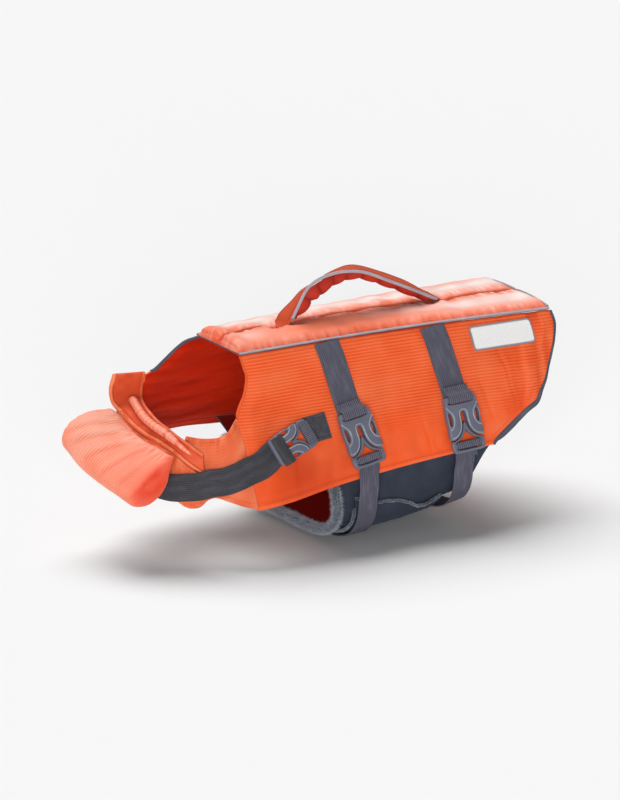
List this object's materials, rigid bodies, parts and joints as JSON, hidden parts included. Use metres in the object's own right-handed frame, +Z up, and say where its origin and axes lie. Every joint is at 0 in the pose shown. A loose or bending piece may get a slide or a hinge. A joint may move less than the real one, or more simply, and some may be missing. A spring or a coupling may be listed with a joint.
{
  "type": "dog life jacket",
  "caption": "Dog life jacket in its worn shape: padded back with a grab handle, curved side panels, chest piece with chin float, belly panel and buckled belts",
  "frame": {"origin": "under the back panel on the centre plane, half way along it, where the jacket rests on the dog's back", "axes": "+X runs from head to tail, +Z up off the dog's back, -Y to the side with the buckles (the dog's left)"},
  "size_m": [0.4598, 0.2111, 0.2359],
  "materials": {
    "coral_nylon": "satin nylon over foam",
    "orange_ripstop": "ribbed nylon over foam",
    "grey_binding": "woven tape",
    "belt_webbing": "ribbed webbing",
    "dark_webbing": "flat webbing",
    "buckle_plastic": "moulded",
    "slate_neoprene": "knit-faced neoprene",
    "grey_fleece": "fleece",
    "label_white": "woven patch"
  },
  "bodies": {
    "root": {"back_panel": "coral_nylon", "side_panel_left": "orange_ripstop", "side_panel_right": "orange_ripstop", "chest_flap_left": "orange_ripstop", "chest_panel": "orange_ripstop", "collar_strip": "orange_ripstop", "throat_roll": "coral_nylon", "chin_float": "coral_nylon", "piping_left": "grey_binding", "piping_right": "grey_binding", "neck_binding_left": "grey_binding", "neck_binding_right": "grey_binding", "tail_binding_left": "grey_binding", "tail_binding_right": "grey_binding", "handle_webbing": "coral_nylon", "handle_sleeve": "coral_nylon", "handle_piping": "grey_binding", "strap_front_upper": "belt_webbing", "strap_rear_upper": "belt_webbing", "strap_front_fold": "belt_webbing", "strap_rear_fold": "belt_webbing", "strap_front_bar_loop": "belt_webbing", "strap_rear_bar_loop": "belt_webbing", "strap_front_lower": "belt_webbing", "strap_rear_lower": "belt_webbing", "buckle_front_socket": "buckle_plastic", "buckle_front_plug": "buckle_plastic", "buckle_rear_socket": "buckle_plastic", "buckle_rear_plug": "buckle_plastic", "buckle_neck_socket": "buckle_plastic", "buckle_neck_plug": "buckle_plastic", "neck_belt": "dark_webbing", "neck_belt_bar_loop": "dark_webbing", "neck_belt_roll": "dark_webbing", "neck_belt_patch": "dark_webbing", "belly_panel": "slate_neoprene", "belly_pad": "slate_neoprene", "belly_front_binding": "grey_fleece", "belly_pad_binding_left": "grey_fleece", "belly_pad_binding_right": "grey_fleece", "belly_pad_binding_front": "grey_fleece", "label_patch": "label_white"}
  },
  "joints": []
}
